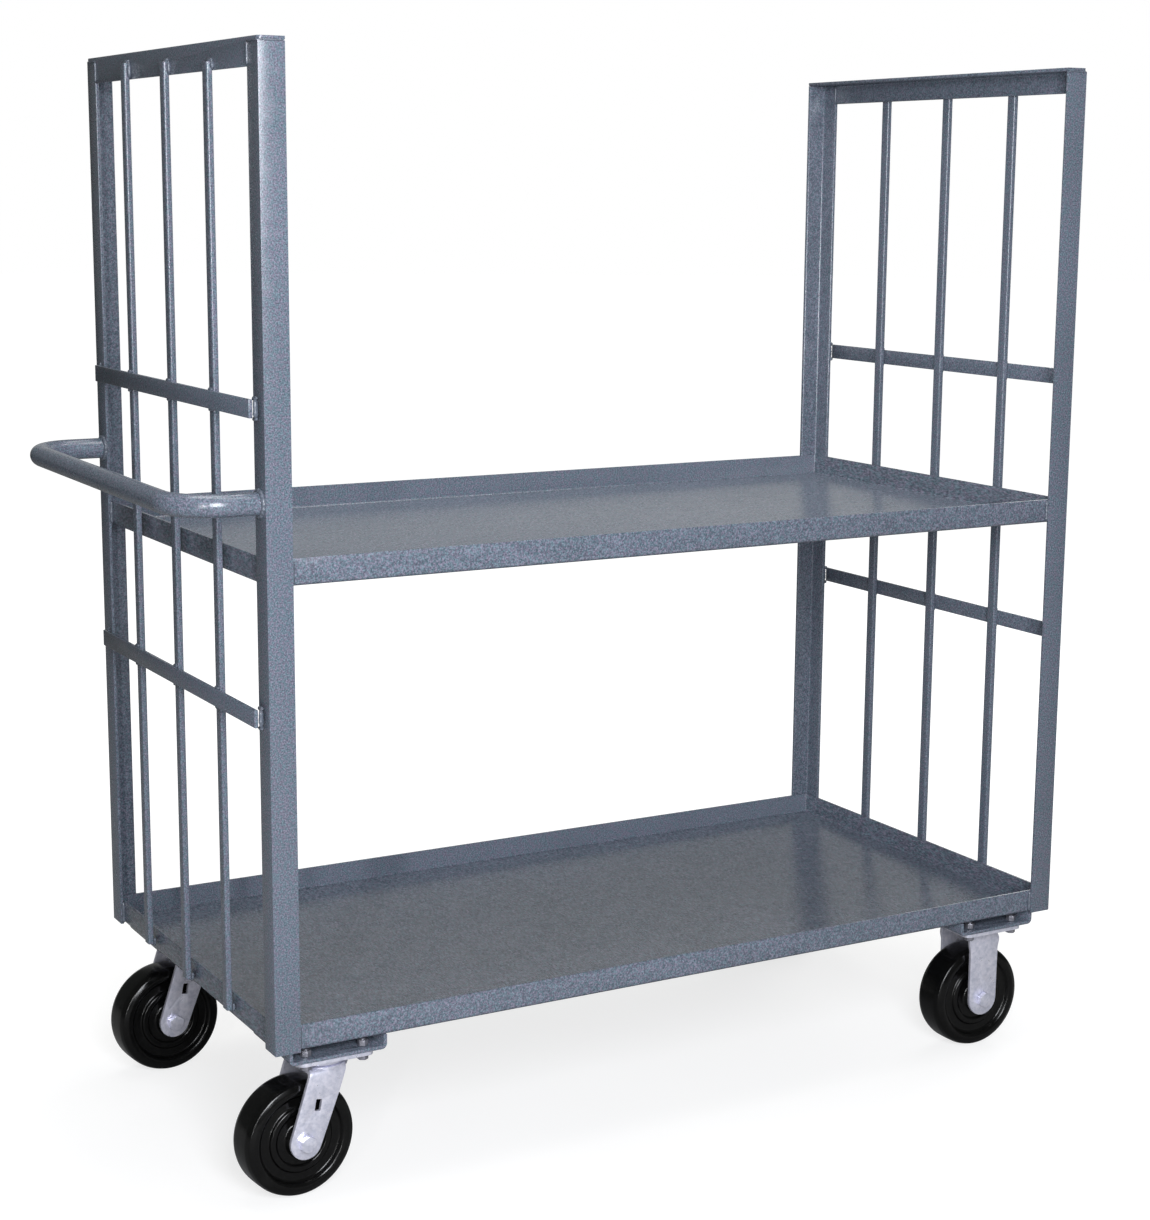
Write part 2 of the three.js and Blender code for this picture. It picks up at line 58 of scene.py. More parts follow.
ENAMEL_GLOSS = 0.55
THIN_ENAMEL_GLOSS = 0.65
MOULDING_GLOSS = 0.27
ZINC_SHADE = 0.80
# the bolts' zinc is the same zinc made darker: painted shade for their place in the dark gap at the caster pads
PAINTED_SHADE_ZINC_TONE = 0.24
SHELF_BRUSHING = (1, 0.3, 1)  # the shelves' speckle is drawn out across the cart
PAINTED_SHADE_FLOOR_GLOW = 0.74  # the paper's glow near the cart, lower than farther out: a painted shade round the cart
FULL_FLOOR_GLOW = 1.0
GLOW_RISES_FROM = 0.7  # metres from the cart's middle
GLOW_FULL_AT = 2.0


# ---- shader helpers ----
class Shader:
    """A material with one Principled shader, and short calls to wire nodes into it."""

    def __init__(self, name):
        self.material = bpy.data.materials.new(name)
        self.material.use_nodes = True
        self.tree = self.material.node_tree
        self.principled = self.tree.nodes["Principled BSDF"]
        self.coordinates = self.tree.nodes.new("ShaderNodeTexCoord").outputs["Object"]

    def node(self, kind, **inputs):
        made = self.tree.nodes.new(kind)
        for key, value in inputs.items():
            self.feed(made.inputs[key.replace("_", " ")], value)
        return made

    def feed(self, socket, value):
        if isinstance(value, bpy.types.NodeSocket):
            self.tree.links.new(value, socket)
        else:
            socket.default_value = value

    def set(self, **inputs):
        for key, value in inputs.items():
            self.feed(self.principled.inputs[key.replace("_", " ")], value)

    def noise(self, scale, detail=3.0, roughness=0.55, stretch=(1, 1, 1)):
        mapping = self.node("ShaderNodeMapping", Vector=self.coordinates, Scale=stretch)
        noise = self.node("ShaderNodeTexNoise", Vector=mapping.outputs["Vector"], Scale=scale)
        noise.inputs["Detail"].default_value = detail
        noise.inputs["Roughness"].default_value = roughness
        return noise.outputs["Fac"]

    def ramp(self, value, *stops):
        ramp = self.node("ShaderNodeValToRGB", Fac=value)
        elements = ramp.color_ramp.elements
        while len(elements) < len(stops):
            elements.new(0.5)
        for element, (position, colour) in zip(elements, stops):
            element.position = position
            element.color = (*colour, 1.0)
        return ramp.outputs["Color"]

    def mix(self, factor, first, second, blend="MIX"):
        mix = self.tree.nodes.new("ShaderNodeMix")
        mix.data_type = "RGBA"
        mix.blend_type = blend
        self.feed(mix.inputs["Factor"], factor)
        self.feed(mix.inputs["A"], first if isinstance(first, bpy.types.NodeSocket) else (*first, 1.0))
        self.feed(mix.inputs["B"], second if isinstance(second, bpy.types.NodeSocket) else (*second, 1.0))
        return mix.outputs["Result"]

    def range(self, value, low, high, from_low=0.3, from_high=0.7):
        ranged = self.node("ShaderNodeMapRange", Value=value)
        ranged.inputs["From Min"].default_value = from_low
        ranged.inputs["From Max"].default_value = from_high
        ranged.inputs["To Min"].default_value = low
        ranged.inputs["To Max"].default_value = high
        return ranged.outputs["Result"]

    def bump(self, height, strength, distance, normal=None):
        bump = self.node("ShaderNodeBump", Height=height, Strength=strength, Distance=distance)
        if normal is not None:
            self.feed(bump.inputs["Normal"], normal)
        return bump.outputs["Normal"]


def frame_paint(name, stretch):
    """Blue-grey enamel: a light and dark speckle that leans teal and violet, slow cloudiness, orange peel."""
    shader = Shader(name)
    speckle = shader.ramp(
        shader.noise(520, 2.0, 0.7, stretch),
        (0.34, (0.056, 0.068, 0.088)),
        (0.50, (0.116, 0.134, 0.170)),
        (0.66, (0.205, 0.226, 0.280)),
    )
    tint = shader.ramp(
        shader.noise(380, 1.0, 0.55, stretch),
        (0.40, (0.84, 1.03, 0.99)),
        (0.60, (1.14, 0.97, 1.02)),
    )
    cloud = shader.ramp(shader.noise(7, 4.0), (0.3, (0.92, 0.94, 0.94)), (0.7, (1.05, 1.04, 1.06)))
    colour = shader.mix(1.0, shader.mix(1.0, speckle, tint, "MULTIPLY"), cloud, "MULTIPLY")
    shader.set(Base_Color=colour)
    shader.set(Roughness=shader.range(shader.noise(45, 5.0), 0.18, 0.30), Metallic=0.0)
    shader.principled.inputs["Specular IOR Level"].default_value = ENAMEL_GLOSS
    peel = shader.bump(shader.noise(420, 2.0), 0.14, 0.0006)
    shader.set(Normal=shader.bump(shader.noise(30, 2.0), 0.02, 0.004, peel))
    return shader.material


def weld_paint():
    """The same enamel over weld metal: lighter where it runs thin, with specks of rust and a lumpy skin."""
    shader = Shader("weld_paint")
    colour = shader.ramp(
        shader.noise(500, 3.0),
        (0.30, (0.060, 0.072, 0.092)),
        (0.55, (0.105, 0.122, 0.155)),
        (0.80, (0.200, 0.216, 0.262)),
    )
    rust = shader.range(shader.noise(38, 4.0, 0.6), 0.0, 0.45, 0.68, 0.76)
    shader.set(Base_Color=shader.mix(rust, colour, (0.20, 0.105, 0.070)))
    shader.set(Roughness=shader.range(shader.noise(90, 4.0), 0.24, 0.46), Metallic=0.0)
    shader.principled.inputs["Specular IOR Level"].default_value = THIN_ENAMEL_GLOSS
    shader.set(Normal=shader.bump(shader.noise(260, 4.0), 0.5, 0.0012))
    return shader.material


def zinc(name, shade):
    """Zinc plate: lavender metal with a faint crystal mottle and fine rolling marks."""
    shader = Shader(name)
    mottle = shader.ramp(
        shader.noise(160, 5.0, 0.6),
        (0.32, tuple(shade * part for part in (0.78, 0.80, 0.94))),
        (0.52, tuple(shade * part for part in (0.98, 0.98, 1.12))),
        (0.72, tuple(shade * part for part in (1.16, 1.14, 1.26))),
    )
    dark = shader.range(shader.noise(26, 4.0), 0.0, 0.25, 0.62, 0.80)
    shader.set(Base_Color=shader.mix(dark, mottle, (0.20, 0.21, 0.26)))
    shader.set(Metallic=0.65, Roughness=shader.range(shader.noise(70, 4.0), 0.26, 0.42))
    marks = shader.bump(shader.noise(500, 2.0, 0.5, (1, 1, 0.15)), 0.10, 0.0004)
    shader.set(Normal=marks)
    return shader.material


def bare_steel():
    """Plain turned steel: grey metal, unevenly dull."""
    shader = Shader("bare_steel")
    colour = shader.ramp(shader.noise(80, 4.0), (0.3, (0.30, 0.30, 0.31)), (0.7, (0.52, 0.52, 0.54)))
    shader.set(Base_Color=colour, Metallic=0.9, Roughness=shader.range(shader.noise(150), 0.28, 0.5))
    shader.set(Normal=shader.bump(shader.noise(700, 2.0), 0.1, 0.0003))
    return shader.material


def black_wheel():
    """Glossy moulded black, a little dust on it and the finest of turning marks."""
    shader = Shader("black_wheel")
    colour = shader.ramp(
        shader.noise(300, 4.0),
        (0.35, (0.0012, 0.0012, 0.0012)),
        (0.70, (0.0036, 0.0035, 0.0034)),
    )
    dust = shader.range(shader.noise(22, 6.0, 0.65), 0.0, 0.05, 0.56, 0.82)
    shader.set(Base_Color=shader.mix(dust, colour, (0.08, 0.08, 0.075)))
    shader.set(Roughness=shader.range(shader.noise(60, 5.0), 0.12, 0.26), Metallic=0.0)
    shader.principled.inputs["Specular IOR Level"].default_value = MOULDING_GLOSS
    shader.set(Normal=shader.bump(shader.noise(350, 2.0), 0.08, 0.0004))
    return shader.material


def floor_paper():
    """White paper that glows enough to stay white; the glow is weaker near the cart, a painted shade round it, and
    full beyond the cart's shadow.
    """
    shader = Shader("floor_paper")
    colour = shader.ramp(shader.noise(3, 2.0), (0.3, (0.29, 0.29, 0.29)), (0.7, (0.31, 0.31, 0.31)))
    away = shader.node("ShaderNodeVectorMath")
    away.operation = "LENGTH"
    shader.feed(away.inputs[0], shader.coordinates)
    distance = away.outputs["Value"]
    # the glow is lowest near the cart and rises outwards: the lower glow is painted shade round the cart
    glow_with_painted_shade = shader.range(distance, PAINTED_SHADE_FLOOR_GLOW, FULL_FLOOR_GLOW, GLOW_RISES_FROM, GLOW_FULL_AT)
    seen = shader.tree.nodes.new("ShaderNodeLightPath").outputs["Is Camera Ray"]
    direct = shader.node("ShaderNodeMath")
    direct.operation = "MULTIPLY"
    shader.feed(direct.inputs[0], glow_with_painted_shade)
    shader.feed(direct.inputs[1], seen)
    shader.set(Base_Color=colour, Roughness=0.9)
    shader.set(Emission_Color=(1.0, 1.0, 1.0, 1.0), Emission_Strength=direct.outputs["Value"])
    return shader.material


MATERIALS = {
    "frame_paint": frame_paint("frame_paint", (1, 1, 1)),
    "shelf_paint": frame_paint("shelf_paint", SHELF_BRUSHING),
    "zinc": zinc("zinc", ZINC_SHADE),
    # a darker copy of the zinc: painted shade for the bolts at the caster pads
    "dull_zinc": zinc("dull_zinc", PAINTED_SHADE_ZINC_TONE),
    "bare_steel": bare_steel(),
    "black_wheel": black_wheel(),
    "weld": weld_paint(),
}


# ---- mesh helpers ----
CORNER_SHARE = 0.45  # the most of a side that one rounded corner may take


def circle(radius, x, y, z, count):
    """A level ring of points."""
    return [
        Vector((x + radius * math.cos(a), y + radius * math.sin(a), z))
        for a in (2 * math.pi * k / count for k in range(count))
    ]


def finish_piece(name, mesh_source, material, body):
    """Turns a bmesh into a smooth-shaded piece that rides on a body."""
    mesh = bpy.data.meshes.new(name)
    bmesh.ops.recalc_face_normals(mesh_source, faces=mesh_source.faces)
    mesh_source.to_mesh(mesh)
    mesh_source.free()
    mesh.polygons.foreach_set("use_smooth", [True] * len(mesh.polygons))
    mesh.materials.append(MATERIALS[material])
    piece = bpy.data.objects.new(name, mesh)
    bpy.context.scene.collection.objects.link(piece)
    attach(piece, body)
    return piece


def crisp(piece, width, segments=2, angle=32):
    """Small rounded edges wherever the surface turns by more than the angle."""
    bevel = piece.modifiers.new("edges", "BEVEL")
    bevel.width = width
    bevel.segments = segments
    bevel.limit_method = "ANGLE"
    bevel.angle_limit = math.radians(angle)
    bevel.use_clamp_overlap = True
    bevel.harden_normals = True


def rings_to_mesh(target, rings, close_ends=True, close_loop=False):
    """Joins rings of points, all of the same count, into a tube."""
    rows = [[target.verts.new(point) for point in ring] for ring in rings]
    count = len(rows[0])
    pairs = list(zip(rows, rows[1:]))
    if close_loop:
        pairs.append((rows[-1], rows[0]))
    for first, second in pairs:
        for i in range(count):
            j = (i + 1) % count
            target.faces.new((first[i], first[j], second[j], second[i]))
    if close_ends and not close_loop:
        target.faces.new(list(reversed(rows[0])))
        target.faces.new(rows[-1])


def lathe(profile, matrix, segments=128):
    """Turns a closed (radius, height) profile about local Z."""
    turned = bmesh.new()
    rings = []
    for step in range(segments):
        angle = 2 * math.pi * step / segments
        rings.append([
            matrix @ Vector((radius * math.cos(angle), radius * math.sin(angle), height))
            for radius, height in profile
        ])
    rings_to_mesh(turned, rings, close_loop=True)
    return turned


def rounded(profile, radius, steps=4):
    """Rounds each corner of a closed profile with a short curve, within its share of the shorter side."""
    result = []
    count = len(profile)
    for i in range(count):
        before, here, after = (Vector(profile[(i + k) % count]) for k in (-1, 0, 1))
        back, forward = before - here, after - here
        reach = min(radius, CORNER_SHARE * back.length, CORNER_SHARE * forward.length)
        start = here + back.normalized() * reach
        end = here + forward.normalized() * reach
        for step in range(steps + 1):
            t = step / steps
            result.append(tuple((1 - t) ** 2 * start + 2 * t * (1 - t) * here + t ** 2 * end))
    return result


def axis_matrix(centre, axis):
    """A frame at the centre whose local Z is the axis."""
    rotation = Vector(axis).normalized().to_track_quat("Z", "Y").to_matrix().to_4x4()
    return Matrix.Translation(Vector(centre)) @ rotation


# ---- weld beads ----
BEAD_SIDES = 10
BEAD_STEP = 0.0022
FEWEST_BEAD_STEPS = 6
BEAD_FLATNESS = 0.8  # height over width
BEAD_WANDER = 0.12  # how unevenly the metal was laid, as a share of the radius
BEAD_DRIFT = 0.06  # how far the run strays from its line, as a share of the radius
BEAD_TIP = 1.6  # length of the rounded tip, in radii
SMALLEST_TIP = 0.03
RIPPLE_LENGTH = 0.0042
RIPPLE_DEPTH = 0.10
PHASES = 6.28
RING_RIPPLES = 17
RING_RIPPLE_DEPTH = 0.14
RING_STEPS = 60


def bead(target, start, end, radius):
    """One run of weld between two points: a lumpy, rippled, round-ended ridge."""
    start, end = Vector(start), Vector(end)
    run = end - start
    length = run.length
    along = run.normalized()
    side = along.orthogonal().normalized()
    up = along.cross(side)
    steps = max(FEWEST_BEAD_STEPS, int(length / BEAD_STEP))
    phase = random.uniform(0, PHASES)
    rings = []
    for step in range(steps + 1):
        t = step / steps
        place = t * length
        tip = min(place, length - place) / (BEAD_TIP * radius)
        swell = math.sqrt(max(SMALLEST_TIP, 1 - (1 - min(1.0, tip)) ** 2))
        ripple = 1 + RIPPLE_DEPTH * math.sin(2 * math.pi * place / RIPPLE_LENGTH + phase)
        size = radius * swell * ripple * random.uniform(1 - BEAD_WANDER, 1 + BEAD_WANDER)
        centre = start + along * place + (side + up) * radius * random.uniform(-BEAD_DRIFT, BEAD_DRIFT)
        rings.append([
            centre
            + side * size * math.cos(2 * math.pi * k / BEAD_SIDES)
            + up * size * BEAD_FLATNESS * math.sin(2 * math.pi * k / BEAD_SIDES)
            for k in range(BEAD_SIDES)
        ])
    rings_to_mesh(target, rings)


def ring_bead(target, centre, axis, ring_radius, radius):
    """A weld all the way round a tube."""
    matrix = axis_matrix(centre, axis)
    phase = random.uniform(0, PHASES)
    rings = []
    for step in range(RING_STEPS):
        angle = 2 * math.pi * step / RING_STEPS
        ripple = 1 + RING_RIPPLE_DEPTH * math.sin(RING_RIPPLES * angle + phase)
        size = radius * ripple * random.uniform(1 - BEAD_WANDER, 1 + BEAD_WANDER)
        ring = []
        for k in range(BEAD_SIDES):
            turn = 2 * math.pi * k / BEAD_SIDES
            out = ring_radius + size * math.cos(turn)
            point = Vector((out * math.cos(angle), out * math.sin(angle), size * math.sin(turn)))
            ring.append(matrix @ point)
        rings.append(ring)
    rings_to_mesh(target, rings, close_loop=True)


def welds(name, runs):
    """One piece of the frame made of several beads, each (start, end, radius)."""
    made = bmesh.new()
    for start, end, radius in runs:
        bead(made, start, end, radius)
    finish_piece(name, made, "weld", "frame")


# ---- the frame's places, from the CAD boxes ----
post_low, post_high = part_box("post_handle_near")
_, far_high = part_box("post_plain_far")
frame_x = (post_low.x, far_high.x)
frame_y = (post_low.y, far_high.y)
leg = post_high.x - post_low.x
shelf_boxes = {name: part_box(name) for name in ("lower_shelf", "upper_shelf")}
frame_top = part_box("top_angle_handle_end")[1].z

# Radii of the beads.
HEAD_BEAD = 0.0034
HEAD_CAP_BEAD = 0.0036
FOOT_SIDE_BEAD = 0.0022
FOOT_BEAD = 0.0024
CROSSING_BEAD = 0.0026
BAR_END_BEAD = 0.0038
BAR_EDGE_BEAD = 0.0030
SHELF_BEAD = 0.0034
BUTT_BEAD = 0.0024
SEAM_BEAD = 0.0013
PAD_BEAD = 0.0032
HANDLE_BEAD = 0.0032

# Where the beads' centre lines run, beside the edges that they cover.
STAND_OFF = 0.001
HALF_STAND_OFF = 0.0005
FACE_STAND_OFF = 0.0012
CAP_STAND_OFF = 0.0015
FOOT_STAND_OFF = 0.0004
FOOT_OVERLAP = 0.009  # how far up a slat its foot is welded
CROSSING_INSET = 0.002  # how far inside a slat's edges the bead at a bar starts
CROSSING_DEPTH = 0.0006
BAR_EDGE_REACH = 0.009
BAR_EDGE_OVERRUN = 0.004
SHELF_BEAD_START = 0.002
SHELF_BEAD_DEPTH = 0.0042  # how far in from the frame's outer face these beads run
BUTT_DEPTHS = (0.0004, 0.0046)  # on the outer and the inner face of a top angle's hanging leg
BUTT_TOP = 0.005
SEAM_DEPTH = 0.0049  # from the frame's top to just under a top angle's lying leg
SEAM_SHARE = 0.95  # of the lying leg's width
PAD_BEAD_INSET = 0.008
HANDLE_BEAD_PROUD = 0.0006


def outward(end):
    """The frame's outer end plane and its outward direction along X."""
    return (frame_x[0], -1) if end == "handle_end" else (frame_x[1], 1)


def slat_welds(end):
    """Beads around the slats' heads on the top angle, and around their feet on the lower shelf's lip."""
    plane, out = outward(end)
    runs = []
    for place in PLACES:
        low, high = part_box(f"slat_{end}_{place}")
        face = plane + out * FACE_STAND_OFF
        head_start, head_end = frame_top - leg + STAND_OFF, high.z + STAND_OFF
        for y, side in ((low.y, -1), (high.y, 1)):
            edge = y + side * STAND_OFF
            runs.append(((face, edge, head_start), (face, edge, head_end), HEAD_BEAD))
        cap = high.z + CAP_STAND_OFF
        runs.append(((face, low.y, cap), (face, high.y, cap), HEAD_CAP_BEAD))
        lip_gap = plane - out * STAND_OFF
        foot_start, foot_end = low.z - STAND_OFF, low.z + FOOT_OVERLAP
        for y, side in ((low.y, -1), (high.y, 1)):
            edge = y + side * FOOT_STAND_OFF
            runs.append(((lip_gap, edge, foot_start), (lip_gap, edge, foot_end), FOOT_SIDE_BEAD))
        bottom = low.z - CAP_STAND_OFF
        runs.append(((lip_gap, low.y, bottom), (lip_gap, high.y, bottom), FOOT_BEAD))
    welds(f"weld_slats_{end}", runs)


def bar_welds(end):
    """Beads where the bars cross the slats and where their ends meet the posts."""
    plane, out = outward(end)
    runs = []
    for level in ("upper", "lower"):
        low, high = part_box(f"cross_bar_{end}_{level}")
        inner = low.x if out > 0 else high.x
        for place in PLACES:
            slat_low, slat_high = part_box(f"slat_{end}_{place}")
            for z, side in ((high.z, 1), (low.z, -1)):
                height = z + side * FACE_STAND_OFF
                first = (inner + out * CROSSING_DEPTH, slat_low.y + CROSSING_INSET, height)
                last = (inner + out * CROSSING_DEPTH, slat_high.y - CROSSING_INSET, height)
                runs.append((first, last, CROSSING_BEAD))
        middle = (plane + inner) / 2
        for y, side in ((low.y, -1), (high.y, 1)):
            end_y = y + side * CAP_STAND_OFF
            face = middle + out * STAND_OFF
            runs.append(((face, end_y, low.z), (face, end_y, high.z), BAR_END_BEAD))
            inner_y = max(abs(y) - BAR_EDGE_REACH, abs(frame_y[0]) - leg + STAND_OFF) * side
            outer_y = y + side * BAR_EDGE_OVERRUN
            for z, lift in ((high.z, 1), (low.z, -1)):
                height = z + lift * STAND_OFF
                runs.append(((middle, inner_y, height), (middle, outer_y, height), BAR_EDGE_BEAD))
    welds(f"weld_bars_{end}", runs)


def shelf_welds(name):
    """Upright beads along each post's two leg edges, where they meet the shelf's lips."""
    low, high = shelf_boxes[name]
    bottom, top = low.z + SHELF_BEAD_START, high.z - STAND_OFF
    runs = []
    for x, inward_x in ((frame_x[0], 1), (frame_x[1], -1)):
        for y, inward_y in ((frame_y[0], 1), (frame_y[1], -1)):
            edge_x = x + inward_x * (leg + HALF_STAND_OFF)
            lip_y = y + inward_y * SHELF_BEAD_DEPTH
            runs.append(((edge_x, lip_y, bottom), (edge_x, lip_y, top), SHELF_BEAD))
            edge_y = y + inward_y * (leg + HALF_STAND_OFF)
            lip_x = x + inward_x * SHELF_BEAD_DEPTH
            runs.append(((lip_x, edge_y, bottom), (lip_x, edge_y, top), SHELF_BEAD))
    welds(f"weld_{name}", runs)


def top_angle_welds(end):
    """Upright butt welds between the hanging leg and the posts, and the seams under the lying leg."""
    plane, out = outward(end)
    bottom, top = frame_top - leg + STAND_OFF, frame_top - BUTT_TOP
    seam_z = frame_top - SEAM_DEPTH
    near_x, far_x = plane - out * STAND_OFF, plane - out * leg * SEAM_SHARE
    runs = []
    for y, inward_y in ((frame_y[0], 1), (frame_y[1], -1)):
        seam_y = y + inward_y * leg
        for depth in BUTT_DEPTHS:
            face = plane - out * depth
            runs.append(((face, seam_y, bottom), (face, seam_y, top), BUTT_BEAD))
        runs.append(((near_x, y, seam_z), (far_x, y, seam_z), SEAM_BEAD))
        runs.append(((plane, y + inward_y * STAND_OFF, seam_z), (plane, seam_y, seam_z), SEAM_BEAD))
    welds(f"weld_top_{end}", runs)


def pad_welds(corner):
    """A bead along each end of a caster pad, under the lower shelf."""
    low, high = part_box(f"caster_pad_{corner}")
    start, stop = low.y + PAD_BEAD_INSET, high.y - PAD_BEAD_INSET
    z = high.z - FACE_STAND_OFF
    runs = [((x, start, z), (x, stop, z), PAD_BEAD) for x in (low.x - STAND_OFF, high.x + STAND_OFF)]
    welds(f"weld_pad_{corner}", runs)


for end in ENDS:
    slat_welds(end)
    bar_welds(end)
    top_angle_welds(end)
for shelf in shelf_boxes:
    shelf_welds(shelf)
for corner in CORNERS:
    pad_welds(corner)


# ---- slats: flat bars with rounded rolled edges ----
SLAT_EDGE = 0.0022
SLAT_END_CHAMFER = 0.0005
SLAT_EDGE_STEPS = 8


def slat(node):
    """A bar with four rounded long edges and slightly eased ends, in place of the CAD slat."""
    low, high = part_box(node)
    half_x, half_y = (high.x - low.x) / 2, (high.y - low.y) / 2
    centre_x, centre_y = (low.x + high.x) / 2, (low.y + high.y) / 2
    made = bmesh.new()
    rings = []
    levels = (
        (low.z, SLAT_END_CHAMFER),
        (low.z + SLAT_END_CHAMFER, 0.0),
        (high.z - SLAT_END_CHAMFER, 0.0),
        (high.z, SLAT_END_CHAMFER),
    )
    for z, inset in levels:
        ring = []
        for quarter, (sx, sy) in enumerate(((1, 1), (-1, 1), (-1, -1), (1, -1))):
            for step in range(SLAT_EDGE_STEPS + 1):
                turn = math.pi / 2 * (quarter + step / SLAT_EDGE_STEPS)
                x = centre_x + sx * (half_x - SLAT_EDGE) + (SLAT_EDGE - inset) * math.cos(turn)
                y = centre_y + sy * (half_y - SLAT_EDGE) + (SLAT_EDGE - inset) * math.sin(turn)
                ring.append(Vector((x, y, z)))
        rings.append(ring)
    rings_to_mesh(made, rings)
    piece = finish_piece(f"rolled_{node}", made, "frame_paint", "frame")
    sharp = piece.modifiers.new("ends", "EDGE_SPLIT")
    sharp.split_angle = math.radians(40)
    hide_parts(node)


for end in ENDS:
    for place in PLACES:
        slat(f"slat_{end}_{place}")


# ---- push handle: one smooth bent tube, with its ends welded to the posts ----
HANDLE_RADIUS = 0.014
HANDLE_BEND = 0.060
HANDLE_PULL = 0.552  # how far a bend's curve is drawn to the corner, for a near-round arc
HANDLE_SIDES = 40
BEND_STEPS = 24
STRAIGHT_STEPS = 12
HANDLE_RIM = 0.0008
ARM_BAND = 0.02  # the outer band of an arm whose points give its height
ARM_END_DEPTH = 0.002
GRIP_HALF = 0.16  # half of the stretch of the grip whose lean is measured
GRIP_SPAN = 0.3  # about how far apart the two measured points are
CORNER_FROM_GRIP = 0.13  # about how far each of them is from its corner


def handle_corners():
    """The four corners of the handle's centre line, from the box of its CAD tube."""
    low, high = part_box("push_handle")
    vertices = [vertex.co for vertex in NODES["push_handle"].data.vertices]
    ends = [v for v in vertices if v.x > high.x - ARM_END_DEPTH]
    near = [v for v in ends if v.y < low.y + ARM_BAND]
    far = [v for v in ends if v.y > high.y - ARM_BAND]
    near_z = sum(v.z for v in near) / len(near)
    far_z = sum(v.z for v in far) / len(far)
    middle_y = (low.y + high.y) / 2
    grip = [v for v in vertices if abs(v.y - middle_y) < GRIP_HALF]
    near_grip = min(v.x for v in grip if v.y < middle_y) + HANDLE_RADIUS
    far_grip = min(v.x for v in grip if v.y > middle_y) + HANDLE_RADIUS
    y_near, y_far = low.y + HANDLE_RADIUS, high.y - HANDLE_RADIUS
    slope = (far_grip - near_grip) / GRIP_SPAN
    return [
        Vector((high.x, y_near, near_z)),
        Vector((near_grip - slope * CORNER_FROM_GRIP, y_near, near_z)),
        Vector((far_grip + slope * CORNER_FROM_GRIP, y_far, far_z)),
        Vector((high.x, y_far, far_z)),
    ]


def handle_line(corners):
    """The handle's centre line: three straights joined by two bends."""
    points = [corners[0]]
    for index in (1, 2):
        corner = corners[index]
        start = corner + (corners[index - 1] - corner).normalized() * HANDLE_BEND
        end = corner + (corners[index + 1] - corner).normalized() * HANDLE_BEND
        first = start.lerp(corner, HANDLE_PULL)
        second = end.lerp(corner, HANDLE_PULL)
        origin = points[-1]
        points += [origin.lerp(start, step / STRAIGHT_STEPS) for step in range(1, STRAIGHT_STEPS)]
        for step in range(BEND_STEPS + 1):
            t = step / BEND_STEPS
            u = 1 - t
            points.append(u ** 3 * start + 3 * u * u * t * first + 3 * u * t * t * second + t ** 3 * end)
    origin = points[-1]
    points += [origin.lerp(corners[3], step / STRAIGHT_STEPS) for step in range(1, STRAIGHT_STEPS + 1)]
    return points


def push_handle():
    """The tube, and a weld round each of its ends."""
    corners = handle_corners()
    points = handle_line(corners)
    made = bmesh.new()
    rings = []
    for index, point in enumerate(points):
        before = points[max(0, index - 1)]
        after = points[min(len(points) - 1, index + 1)]
        tangent = (after - before).normalized()
        side = tangent.cross(Vector((0, 0, 1))).normalized()
        up = side.cross(tangent)
        rings.append([
            point + HANDLE_RADIUS * (side * math.cos(turn) + up * math.sin(turn))
            for turn in (2 * math.pi * k / HANDLE_SIDES for k in range(HANDLE_SIDES))
        ])
    rings_to_mesh(made, rings)
    handle = finish_piece("push_handle_tube", made, "frame_paint", "frame")
    crisp(handle, HANDLE_RIM, 2, 50)
    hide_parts("push_handle")
    joints = bmesh.new()
    for corner in (corners[0], corners[3]):
        centre = corner + Vector((-HANDLE_BEAD_PROUD, 0, 0))
        ring_bead(joints, centre, (1, 0, 0), HANDLE_RADIUS + HANDLE_BEAD_PROUD, HANDLE_BEAD)
    finish_piece("weld_push_handle", joints, "weld", "frame")


push_handle()

# ---- wheels ----
WHEEL_RADIUS = 0.0762
WHEEL_HALF = 0.0254  # half the tread's width
HUB_BORE = 0.0110
HUB_HALF = 0.0275


def wheel_profile():
    """The wheel's section as (radius, offset): hub, recessed web with a raised ring, and crowned tread."""
    side = [
        (HUB_BORE, HUB_HALF),
        (0.0200, HUB_HALF),
        (0.0235, 0.0205),
        (0.0335, 0.0190),
        (0.0355, 0.0222),
        (0.0425, 0.0222),
        (0.0445, 0.0180),
        (0.0560, 0.0180),
        (0.0600, 0.0242),
        (0.0660, WHEEL_HALF),
        (0.0735, 0.0222),
        (0.0759, 0.0150),
        (WHEEL_RADIUS, 0.0060),
    ]
    return rounded(side + [(radius, -offset) for radius, offset in reversed(side)], 0.0022, 4)


def wheel(corner):
    """A moulded wheel turned about its own joint's axis."""
    joint = JOINTS[f"wheel_spin_{corner}"]
    turned = lathe(wheel_profile(), axis_matrix(joint["pos_m"], joint["axis"]))
    body = f"wheel_{corner}"
    piece = finish_piece(f"moulded_wheel_{corner}", turned, "black_wheel", body)
    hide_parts(f"wheel_{corner}")


for corner in CORNERS:
    wheel(corner)


# ---- swivel bearings: a pressed double raceway in place of the plain ring ----
RACEWAY_BORE = 0.0225
RACEWAY_SEGMENTS = 96


def raceway(corner):
    """Two rolled rings with a groove between them, as wide and as tall as the CAD ring."""
    low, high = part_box(f"bearing_ring_{corner}")
    centre = (low + high) / 2
    half = (high.z - low.z) / 2
    outer = (high.x - low.x) / 2
    profile = [
        (RACEWAY_BORE, -half),
        (outer - 0.005, -half),
        (outer - 0.001, -half * 0.72),
        (outer - 0.001, -half * 0.22),
        (outer - 0.004, -half * 0.08),
        (outer - 0.004, half * 0.08),
        (outer, half * 0.24),
        (outer, half * 0.66),
        (outer - 0.004, half),
        (RACEWAY_BORE, half),
    ]
    turned = lathe(rounded(profile, 0.001, 3), Matrix.Translation(centre), RACEWAY_SEGMENTS)
    piece = finish_piece(f"raceway_{corner}", turned, "zinc", "frame")
    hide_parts(f"bearing_ring_{corner}")


for corner in ("handle_near", "handle_far"):
    raceway(corner)


